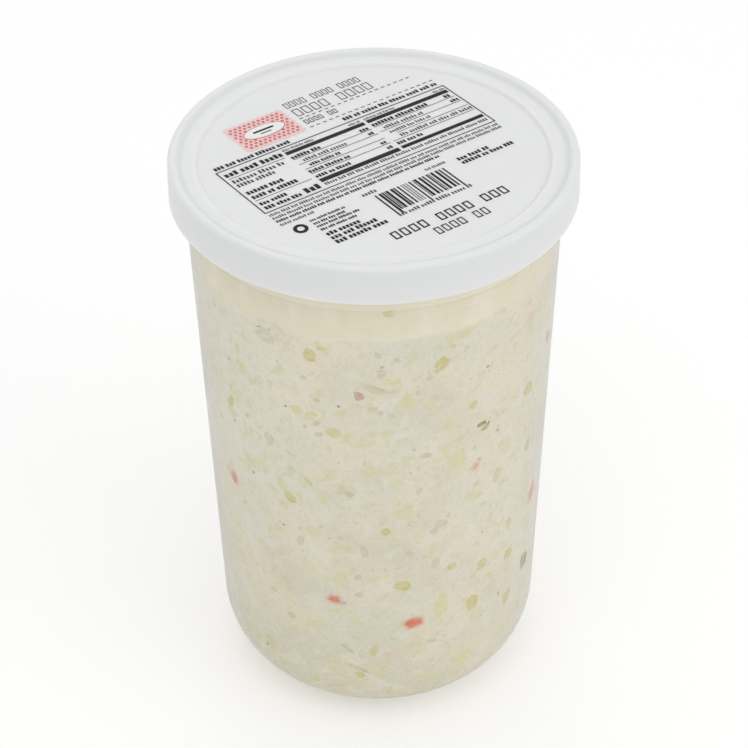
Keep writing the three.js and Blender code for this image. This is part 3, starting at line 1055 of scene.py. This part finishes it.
def placesAtPixels(across, down):
    # angle and length along the outline of the surface point that the camera sees at each pixel,
    # the nearest on a fine grid of the half of the body that faces the camera, and pixels to a metre there
    turns = np.linspace(-math.pi, 0, bitLay["searchTurns"])
    lengths = np.arange(bitLay["low"], outlineAlong[-1], bitLay["searchStep"])
    angle, along = np.meshgrid(turns, lengths)
    right, forward, up = cameraAxes().T
    points, lifted = onBody(angle, along), onBody(angle, along, mm)
    ray = points - np.array([0, -view["back"], view["height"]])
    scale = view["lens"] / view["sensor"] * view["picture"] / (ray @ forward)
    x = view["picture"] / 2 + scale * (ray @ right)
    y = view["picture"] / 2 - scale * (ray @ up)
    hidden = ((lifted - points) * ray).sum(-1) > 0
    farOff = 1e9 * hidden
    nearest = [np.argmin((x - px) ** 2 + (y - py) ** 2 + farOff) for px, py in zip(across, down)]
    return angle.ravel()[nearest], along.ravel()[nearest], scale.ravel()[nearest]


def placedBits(places):
    # where listed bits lie and how large they are on the body. A step there of a round and u up looks like
    # -sin(angle) a across and cos(tilt) u + sin(tilt) cos(angle) a up, so a and u are solved from the turn
    across, down, length, width, turn, strength = np.array(places, dtype=float).T
    angle, along, scale = placesAtPixels(across, down)
    turn, tilt = np.radians(turn), math.radians(view["downTilt"])
    facing = np.maximum(-np.sin(angle), bitLay["leastFacing"])
    aside = np.cos(turn) / facing
    up = (np.sin(turn) - math.sin(tilt) * np.cos(angle) * aside) / math.cos(tilt)
    area = length * width / scale**2 / (facing * math.cos(tilt))
    length = length / scale * np.hypot(aside, up)
    spin = np.arctan2(up, aside)
    return {
        "angle": angle, "along": along, "length": length, "width": area / length,
        "spin": spin, "strength": strength,
    }


def crowded(angle, along, length):
    # true where a bit would lie across one of the listed bits
    radius = np.interp(along, outlineAlong, outline[:, 0])[:, None]
    aside = (angle[:, None] - listedBits["angle"] + math.pi) % (2 * math.pi) - math.pi
    apart = np.hypot(radius * aside, along[:, None] - listedBits["along"])
    lengths = length[:, None] + listedBits["length"]
    return (apart < bitLay["clearance"] + bitLay["lengthShare"] * lengths).any(1)


# how far a cut's turn wanders, how near and far it is, how flat it may be met, and the longest reach
cuts = {"wander": 0.3, "near": 0.72, "far": 1.05, "flattest": 0.3, "longest": 1.35}
# waves of a round outline: how many in a turn, and their most
waves = {2: 0.16, 3: 0.12, 4: 0.06}


def unevenOutline(draw, count, corners, turn):
    # distance of the outline from its middle. With corners it is the inside of a few straight cuts, the least
    # of distance / cos(turn - the cut's turn), and otherwise 1 + low waves
    if corners:
        wander = draw.uniform(-cuts["wander"], cuts["wander"], (count, corners))
        cutTurn = (np.arange(corners) + wander) * 2 * math.pi / corners
        cutTurn = cutTurn + draw.uniform(0, 2 * math.pi, (count, 1))
        distance = draw.uniform(cuts["near"], cuts["far"], (count, corners))
        facing = np.cos(turn[:, :, None] - cutTurn[:, None, :])
        return (distance[:, None, :] / np.maximum(facing, cuts["flattest"])).min(-1).clip(0, cuts["longest"])
    shape = np.ones_like(turn)
    for number, most in waves.items():
        size = draw.uniform(0, most, (count, 1))
        shape = shape + size * np.cos(number * turn + draw.uniform(0, 2 * math.pi, (count, 1)))
    return shape


def drawnBits(draw, kind):
    # bits all over a part of the wall, with equal chance for equal area, but for those across a listed one
    count = kind["count"]
    least, most = kind["strength"]
    steps = np.linspace(bitLay["low"], bitLay["high"], bitLay["areaSteps"])
    area = np.cumsum(np.interp(steps, outlineAlong, outline[:, 0]))
    bits = {
        "angle": np.radians(draw.uniform(*kind["around"], count)),
        "along": np.interp(draw.uniform(area[0], area[-1], count), area, steps),
        "length": draw.uniform(*kind["length"], count) * mm,
        "width": draw.uniform(*kind["aspect"], count),
        "spin": draw.uniform(0, 2 * math.pi, count),
        "strength": least + (most - least) * draw.uniform(0, 1, count) ** bitLay["faintness"],
    }
    bits["width"] *= bits["length"]
    keep = ~crowded(bits["angle"], bits["along"], bits["length"])
    return {key: value[keep] for key, value in bits.items()}


def makeBits(name, kind):
    # local shape: x = cos(turn) * (outline * length / 2 + rim), y the same with the width and sin,
    # then spun, laid on the body's surface by length and angle, and lifted ring by ring
    draw = np.random.default_rng(kind["seed"])
    bits = drawnBits(draw, kind)
    placed = placedBits(kind["places"]) if kind["places"] else {}
    bits = {key: np.append(value, placed.get(key, [])) for key, value in bits.items()}
    angle, along, length, width, spin, strength = (bits[key][:, None] for key in bits)
    total, sectors = len(length), kind["sectors"]
    tone = draw.uniform(0, 1, total)
    turn = np.arange(sectors) * 2 * math.pi / sectors + draw.uniform(0, 1, (total, 1))
    shape = unevenOutline(draw, total, kind["corners"], turn)
    rings = {key: np.array(shares)[None, :, None] for key, shares in lensRings.items()}
    # the fainter a bit, the deeper it lies and the softer its rim
    softness = kind["rim"] * mm * (bitLay["softest"] - bitLay["sharpening"] * strength)
    rim = np.minimum(softness, bitLay["widestRim"] * length)[:, :, None] * rings["rim"]
    reach = shape[:, None, :] * rings["outline"]
    x = np.cos(turn)[:, None, :] * (reach * length[:, :, None] / 2 + rim)
    y = np.sin(turn)[:, None, :] * (reach * width[:, :, None] / 2 + rim)
    ringLift = rings["haloLift"] if kind["halo"] else rings["lift"]
    lift = draw.uniform(bitLay["leastLift"], bitLay["mostLift"], (total, 1, 1)) * ringLift + 0 * x
    column = np.zeros((total, 1))

    def whole(ringed, middle, behind):
        # each bit's values in the order middle, rings and the point behind
        return np.concatenate([middle + column, ringed.reshape(total, -1), behind + column], 1)

    def ringValue(key, middle):
        return whole(rings[key] + np.zeros((total, 1, sectors)), middle, 0)

    x, y = whole(x, 0, 0), whole(y, 0, 0)
    lift = whole(lift, lift[:, 0, :1], -bitLay["behind"])
    aside, up = x * np.cos(spin) - y * np.sin(spin), x * np.sin(spin) + y * np.cos(spin)
    run = np.clip(along + up, bitLay["lowest"], bitLay["highest"])
    around = angle + aside / np.interp(run, outlineAlong, outline[:, 0])
    # the film's share and the painted highlight line, as on the body
    film, highlightLine = filmShares(onBody(around, run, lift))
    points = onBody(around, run, lift - film * slaw["filmBack"])
    # bits are shaded as the body around them, so that only their colour shows
    normals = (onBody(around, run, 1.0) - onBody(around, run)).reshape(-1, 3)
    values = {
        "within": ringValue("within", 1),
        "edge": ringValue("edge", 0),
        "strength": strength + 0 * x,
        "tone": tone[:, None] + 0 * x,
        "alongBit": x,
        "acrossBit": y,
        "film": film,
        "highlightLine": highlightLine,
    }
    faces = lensFaces(total, len(lensRings["rim"]), sectors)
    pieceFrom(name, points.reshape(-1, 3), faces, bitFinish(name, kind), values, normals)


def lensFaces(total, ringCount, sectors):
    # fans from the middle and from the point behind, and quads between the rings
    ring = 1 + np.arange(ringCount * sectors).reshape(ringCount, sectors)
    beside = np.roll(ring, -1, axis=1)
    size = ringCount * sectors + 2
    front = np.stack([np.zeros(sectors, int), ring[0], beside[0]], -1)
    back = np.stack([np.full(sectors, size - 1), beside[-1], ring[-1]], -1)
    quads = np.stack([ring[:-1], ring[1:], beside[1:], beside[:-1]], -1).reshape(-1, 4)
    start = (np.arange(total) * size)[:, None, None]
    return [(start + np.concatenate([front, back])).reshape(-1, 3), (start + quads).reshape(-1, 4)]


# the cloudy cover, the breaks in the dark edge and the streaks, which run along the bit, each with its size
# and the start and end of its step
bitLook = {
    "cloudSize": 1.5 * mm,
    "cloudSteps": (0.35, 0.62),
    "breakSize": 1.8 * mm,
    "breakSteps": (0.42, 0.58),
    "streakSize": 0.55 * mm,
    "streakSteps": (0.40, 0.60),
    "streakSqueeze": 0.22,
    "haloReach": 0.62,
    "rimFade": 0.3,
}


def bitFinish(name, kind):
    # the bit's own colour in streaks along it, with a broken darker edge, fading into the food at a ragged
    # rim: cover = (core + halo) * cloud * strength, where core and halo are steps on how far within it is
    made = newMaterial(name)
    tree = made["tree"]
    points = objectPoints(tree)
    within, tone = pointValue(tree, "within"), pointValue(tree, "tone")
    raggedSize, raggedDepth = kind["ragged"]
    ragged = calculate(tree, "SUBTRACT", noise(tree, points, raggedSize * mm), 0.5)
    torn = calculate(tree, "ADD", within, calculate(tree, "MULTIPLY", ragged, raggedDepth))
    core = ramp(tree, torn, *kind["core"], 0, 1 - kind["halo"])
    core = calculate(tree, "MULTIPLY", core, ramp(tree, within, 0, bitLook["rimFade"]))
    halo = ramp(tree, within, 0, bitLook["haloReach"], 0, kind["halo"])
    clouds = noise(tree, points, bitLook["cloudSize"])
    cloud = ramp(tree, clouds, *bitLook["cloudSteps"], kind["cloudy"], 1)
    cover = calculate(tree, "MULTIPLY", calculate(tree, "ADD", core, halo), cloud)
    cover = calculate(tree, "MULTIPLY", cover, pointValue(tree, "strength"))
    lengthwise = calculate(tree, "MULTIPLY", pointValue(tree, "alongBit"), bitLook["streakSqueeze"])
    place = addNode(tree, "ShaderNodeCombineXYZ", X=lengthwise, Y=pointValue(tree, "acrossBit"), Z=tone)
    streaks = noise(tree, place.outputs["Vector"], bitLook["streakSize"], detail=1)
    first, second, dark = (paint(kind[key]) for key in ("first", "second", "dark"))
    colour = mixColour(tree, ramp(tree, streaks, *bitLook["streakSteps"]), first, second)
    breaks = noise(tree, points, bitLook["breakSize"], detail=1)
    broken = ramp(tree, breaks, *bitLook["breakSteps"], 0, kind["rimShare"])
    colour = mixColour(tree, calculate(tree, "MULTIPLY", pointValue(tree, "edge"), broken), colour, dark)
    return finishFood(made, mixColour(tree, cover, foodColour(tree), colour))


# Print on the lid: fields of ink and simple shapes, laid out along a turned line.
# A row is low, high, left and right edge in millimetres from the panel's middle.

label = {
    "turn": math.radians(35.64),
    "under": 0.06 * mm,
    "step": 0.04 * mm,
    "ink": (0.022, 0.016, 0.016, 1),
    "softInk": (0.065, 0.06, 0.06, 1),
    "wear": 0.12,
    "wearSize": 1.2 * mm,
    "wearSteps": (0.35, 0.8),
    "roughness": 0.6,
    "gloss": 0.15,
    # blocks of words, in shares of the row's height: pitch and width, and the height of tall and short ones
    "bold": {"pitch": 0.68, "width": 0.49, "tall": 0.96, "short": 0.78},
    "plain": {"pitch": 0.64, "width": 0.38, "tall": 0.96, "short": 0.72},
    "wordLength": (1.6, 4.6),
    "wordGap": 0.34,
    "leastWord": 0.5,
    "tallShare": 0.45,
    "seed": 51,
}

# thick bars, thin rules and the frame round the table
labelBars = [
    (18.2, 20.2, -23.6, 9.9), (-2.8, -0.6, -23.6, 9.9), (18.4, 20.4, 11.1, 46.8), (-2.3, -0.5, 11.1, 46.8),
    (17.35, 17.6, -48.2, -25.2), (1.0, 1.25, -48.2, -25.2),
    (14.5, 14.75, -23.6, 9.9), (10.7, 10.95, -23.6, 9.9), (7.0, 7.25, -23.6, 9.9), (3.4, 3.65, -23.6, 9.9),
    (14.9, 15.15, 11.1, 46.8), (11.1, 11.35, 11.1, 46.8), (7.4, 7.65, 15.6, 46.8), (3.5, 3.75, 11.1, 46.8),
    (23.0, 23.45, -49.6, 47.7), (-7.2, -6.75, -49.6, 47.7),
    (-7.2, 23.45, -49.85, -49.4), (-7.2, 23.45, 47.5, 47.95),
]

# rows of words: dark ones are bold
labelWords = {
    "bold": [
        (24.4, 26.4, -49, -17.5), (24.9, 26.9, 5.4, 46.8), (18.7, 21.4, -48.2, -25.2), (5.6, 7.7, -48, -33),
        (2.3, 4.4, -48, -29.5), (-2.3, -0.4, -48, -37.5), (-5.4, -3.4, -48, -33), (-5.4, -2.2, -31.5, -25),
        (15.1, 17.0, -23.5, -10.8), (15.1, 17.0, 5.5, 9.7), (11.6, 13.4, 6.7, 9.7), (8.0, 9.6, -20.8, -8.5),
        (4.2, 6.0, -23.5, -6), (4.2, 6.0, 6.7, 9.7), (0.4, 2.2, -23.4, -7.5), (0.4, 2.2, 6.7, 9.7),
        (15.6, 17.6, 11.2, 36), (15.6, 17.6, 43.2, 46.5), (12.0, 13.8, 43.2, 46.5), (0.7, 2.5, 11.4, 22.4),
        (-14.0, -12.6, -49.4, 17.2), (-30.2, -28.1, -40.3, -27), (-32.9, -30.8, -40.3, -22.3),
        (-35.7, -33.5, -40.3, -20), (-20.0, -18.0, 21.8, 35), (-22.6, -20.6, 21.8, 44),
        (-20.1, -18.9, -40.3, -26.3), (-22.3, -21.0, -40.3, -27.6), (-24.3, -23.0, -40.3, -22.8),
        (-26.6, -25.3, -40.3, -25.4),
    ],
    "plain": [
        (14.2, 16.4, -48, -27.5), (11.3, 13.4, -48, -33), (20.9, 22.1, -23.5, -10.5), (20.9, 22.1, 4.5, 9.5),
        (11.6, 13.4, -21, -2), (20.9, 22.1, 11.2, 25), (20.9, 22.1, 42, 46.8), (12.0, 13.8, 13.7, 29.8),
        (8.5, 10.1, 13.7, 30.8), (4.6, 6.4, 15.5, 46.8), (-5.0, -3.4, -23.4, 46.8),
        (-9.6, -8.2, -49.4, 47.8), (-11.8, -10.4, -49.4, 47.8), (-16.4, -15.0, -49.4, -35.6),
        (-18.5, -16.6, -17.6, -11), (-18.3, -17.0, 8.9, 17.4), (-35.2, -33.4, -14.5, 15),
    ],
}

# rows of open boxes in place of large characters: a row, how many boxes are in it, and their stroke.
# A box fills its place but for a share at both ends, and every fifth place is empty
labelBoxes = [
    (43.6, 47.2, -6.7, 28.6, 15, 0.29), (37.0, 41.8, -6.7, 27.5, 9, 0.35), (31.0, 33.8, -6.8, 7.4, 7, 0.31),
    (-45.4, -41.0, -24.2, 24.4, 13, 0.60), (-51.4, -47.4, -11.0, 11.6, 7, 0.48),
]
boxGap = 0.14
boxGroup = 5

# dashed lines: height, left and right
labelDashes = [(35.4, -6.8, 40.2), (28.6, -6.8, 45.8)]
dash = {"thickness": 0.4, "length": 1.5, "pitch": 2.75}

# a code of bars, where bars near the middle and the ends are longer
labelCode = {
    "low": -32.0, "guard": -34.0, "high": -20.2, "left": -14.5, "right": 15.0,
    "narrow": 0.32, "middleGuard": 0.8, "endGuard": 1.8,
}

# a plain ring as a small mark
labelRing = {"centre": (-45.2, -21.4), "outer": 2.6, "inner": 1.3, "sides": 28}

# a coral patch with a scalloped edge, rows of dots and a pale oval with strokes on it
patch = {
    "low": 28.2, "high": 44.6, "left": -32.8, "right": -9.4,
    "scallop": 1.95, "scallopDepth": 0.75, "scallopSteps": 6,
    "dotPitch": 1.95, "dotRowPitch": 0.866, "dotRadius": 0.66, "dotSides": 10,
    "dotRows": 30, "dotMargin": 0.4,
    "ovalLength": 16.2, "ovalHeight": 7.0, "ovalRim": 0.4, "ovalClear": 0.9, "ovalSides": 48,
    # strokes by their low and high edge and half their length, from the oval's middle
    "strokes": [(0.1, 1.1, 4.2), (-1.5, -1.0, 2.2)],
    "pale": (0.79, 0.54, 0.53, 1),
    "coral": (0.53, 0.125, 0.12, 1),
    "white": (0.78, 0.78, 0.77, 1),
    "wear": 0.1,
    "wearSize": 0.8 * mm,
    "wearSteps": (0.4, 0.8),
    "roughness": 0.45,
}


def prisms(outlines, low, high):
    # each outline of (across, up) in the label's own lines becomes a flat closed body between two heights
    outlines = np.asarray(outlines) * mm
    count, sides = outlines.shape[:2]
    cosTurn, sinTurn = math.cos(label["turn"]), math.sin(label["turn"])
    x = outlines[..., 0] * cosTurn - outlines[..., 1] * sinTurn
    y = outlines[..., 0] * sinTurn + outlines[..., 1] * cosTurn
    under = np.stack([x, y, np.full_like(x, panelTop + low)], -1)
    over = np.stack([x, y, np.full_like(x, panelTop + high)], -1)
    points = np.concatenate([under, over], 1)
    number = np.arange(sides)
    beside = np.roll(number, -1)
    start = (np.arange(count) * 2 * sides)[:, None]
    walls = np.stack([number, beside, beside + sides, number + sides], -1)
    walls = (start[:, :, None] + walls).reshape(-1, 4)
    return points.reshape(-1, 3), [walls, start + number[::-1], start + sides + number]


def joined(parts):
    # several sets of points and faces as one
    points, blocks, before = [], [], 0
    for part, faces in parts:
        points.append(part)
        blocks.extend(block + before for block in faces)
        before += len(part)
    return np.concatenate(points), blocks


def boxOutlines(rows):
    # the four corners of each row's rectangle, anticlockwise
    low, high, left, right = np.array(rows, dtype=float).T
    corners = [(left, low), (right, low), (right, high), (left, high)]
    return np.stack([np.stack(corner, -1) for corner in corners], 1)


def circle(sides):
    # points once round a circle of radius 1
    turn = np.arange(sides) * 2 * math.pi / sides
    return np.stack([np.cos(turn), np.sin(turn)], -1)


def wordsInRow(draw, row, style):
    # narrow blocks of two heights in groups as long as words, until the row is full
    low, high, left, right = row
    height = high - low
    words = []
    while left < right - label["leastWord"] * height:
        length = min(draw.uniform(*label["wordLength"]), (right - left) / height)
        count = max(2, round(length / style["pitch"]))
        for i in range(count):
            start = left + i * style["pitch"] * height
            rise = style["tall"] if draw.uniform() < label["tallShare"] else style["short"]
            words.append((low, low + rise * height, start, start + style["width"] * height))
        left += (count * style["pitch"] + label["wordGap"]) * height
    return words


def openBoxes(row):
    # thin frames side by side, as wide as thin characters, with an empty place now and then
    low, high, left, right, count, thin = row
    pitch = (right - left) / count
    frames = []
    for i in range(count):
        if i % boxGroup == boxGroup - 1:
            continue
        start, end = left + (i + boxGap) * pitch, left + (i + 1 - boxGap) * pitch
        frames += [
            (low, low + thin, start, end), (high - thin, high, start, end),
            (low, high, start, start + thin), (low, high, end - thin, end),
        ]
    return frames


def barsOfCode(draw):
    # bars and gaps of one to three widths, with longer guard bars at both ends and in the middle
    code = labelCode
    bars, left = [], code["left"]
    while left < code["right"] - code["narrow"]:
        width = code["narrow"] * draw.integers(1, 4)
        isGuard = len(bars) < 2 or abs(left) < code["middleGuard"] or left > code["right"] - code["endGuard"]
        bars.append((code["guard"] if isGuard else code["low"], code["high"], left, left + width))
        left += width + code["narrow"] * draw.integers(1, 4)
    return bars


def dashesInRow(row):
    # short strokes along a line
    up, left, right = row
    half = dash["thickness"] / 2
    starts = np.arange(left, right, dash["pitch"])
    return [(up - half, up + half, start, start + dash["length"]) for start in starts]


def patchMiddle():
    return np.array([(patch["left"] + patch["right"]) / 2, (patch["low"] + patch["high"]) / 2])


def perPart(parts, shares):
    # each part's share at every point of it
    return np.concatenate([np.full(len(part[0]), float(share)) for part, share in zip(parts, shares)])


def worn(tree, look):
    # how worn the print is, in spots
    spots = noise(tree, objectPoints(tree), look["wearSize"], detail=3)
    return ramp(tree, spots, *look["wearSteps"], 0, look["wear"])


def makeInk():
    # every dark field as one piece: bars, code, boxes, dashes and words, the ring, and strokes on the oval
    draw = np.random.default_rng(label["seed"])
    dark = list(labelBars) + barsOfCode(draw)
    for row in labelBoxes:
        dark += openBoxes(row)
    for row in labelDashes:
        dark += dashesInRow(row)
    for row in labelWords["bold"]:
        dark += wordsInRow(draw, row, label["bold"])
    soft = []
    for row in labelWords["plain"]:
        soft += wordsInRow(draw, row, label["plain"])
    ring = circle(labelRing["sides"])
    outer = labelRing["centre"] + labelRing["outer"] * ring
    inner = labelRing["centre"] + labelRing["inner"] * ring
    segments = np.stack([inner, outer, np.roll(outer, -1, 0), np.roll(inner, -1, 0)], 1)
    across, up = patchMiddle()
    strokes = [(up + low, up + high, across - half, across + half) for low, high, half in patch["strokes"]]
    under, step = label["under"], label["step"]
    parts = [
        prisms(boxOutlines(dark), -under, step),
        prisms(segments, -under, step),
        prisms(boxOutlines(strokes), 3 * step, 5 * step),
        prisms(boxOutlines(soft), -under, step),
    ]
    points, faces = joined(parts)
    values = {"soft": perPart(parts, (0, 0, 0, 1))}
    made = newMaterial("labelInk")
    tree = made["tree"]
    amount = calculate(tree, "ADD", pointValue(tree, "soft"), worn(tree, label))
    material = finished(made, {
        "Base Color": mixColour(tree, amount, label["ink"], label["softInk"]),
        "Roughness": label["roughness"],
        "Specular IOR Level": label["gloss"],
    })
    piece = pieceFrom("label_ink", points, faces, material, values)
    piece.data.shade_flat()


def scallopedEdge(width, height):
    # four sides of equal bumps, depth * |sin(pi * share * bumps)| out along each
    sides = []
    # for each side: where it starts, which way it runs and which way is out
    for start, run, out in (
        ((-1, -1), (1, 0), (0, -1)), ((1, -1), (0, 1), (1, 0)),
        ((1, 1), (-1, 0), (0, 1)), ((-1, 1), (0, -1), (-1, 0)),
    ):
        length = abs(run[0]) * width + abs(run[1]) * height
        bumps = round(length / patch["scallop"])
        count = bumps * patch["scallopSteps"]
        share = (np.arange(count) / count)[:, None]
        swell = patch["scallopDepth"] * np.abs(np.sin(math.pi * share * bumps))
        corner = np.array(start) * (width / 2, height / 2)
        sides.append(corner + share * length * np.array(run) + swell * np.array(out))
    return np.concatenate(sides)


def makePatch():
    # a scalloped plate, dots in staggered rows, an oval rim and a pale oval on it
    width, height = patch["right"] - patch["left"], patch["high"] - patch["low"]
    centre = patchMiddle()
    number = np.arange(-patch["dotRows"], patch["dotRows"] + 1)
    across, up = np.meshgrid(number, number)
    x = (across + 0.5 * (up % 2)) * patch["dotPitch"]
    y = up * patch["dotPitch"] * patch["dotRowPitch"]
    a, b = patch["ovalLength"] / 2, patch["ovalHeight"] / 2
    gap, margin, rim = patch["ovalClear"], patch["dotMargin"], patch["ovalRim"]
    clear = (x / (a + gap)) ** 2 + (y / (b + gap)) ** 2 > 1
    keep = clear & (np.abs(x) < width / 2 - margin) & (np.abs(y) < height / 2 - margin)
    dots = np.stack([x[keep], y[keep]], -1)[:, None, :] + patch["dotRadius"] * circle(patch["dotSides"])
    oval = circle(patch["ovalSides"])
    under, step = label["under"], label["step"]
    parts = [
        prisms([centre + scallopedEdge(width, height)], -under, step),
        prisms(centre + dots, 0, 2 * step),
        prisms([centre + oval * (a + rim, b + rim)], 0, 3 * step),
        prisms([centre + oval * (a, b)], 0, 4 * step),
    ]
    points, faces = joined(parts)
    # how coral and how white the plate, the dots, the rim and the oval are
    values = {"coral": perPart(parts, (0, 1, 1, 0)), "white": perPart(parts, (0, 0, 0, 1))}
    made = newMaterial("labelPatch")
    tree = made["tree"]
    colour = mixColour(tree, pointValue(tree, "coral"), patch["pale"], patch["coral"])
    colour = mixColour(tree, pointValue(tree, "white"), colour, patch["white"])
    material = finished(made, {
        "Base Color": mixColour(tree, worn(tree, patch), colour, patch["white"]),
        "Roughness": patch["roughness"],
    })
    piece = pieceFrom("label_patch", points, faces, material, values)
    piece.data.shade_flat()


makeCamera()
makeStudio()
makeTub()
makeLid()
makeDressing()
bitKinds = {name: {**bitDefaults, **kind} for name, kind in bitKinds.items()}
listedBits = placedBits([row for kind in bitKinds.values() for row in kind["places"]])
for name, kind in bitKinds.items():
    makeBits(name, kind)
makeInk()
makePatch()
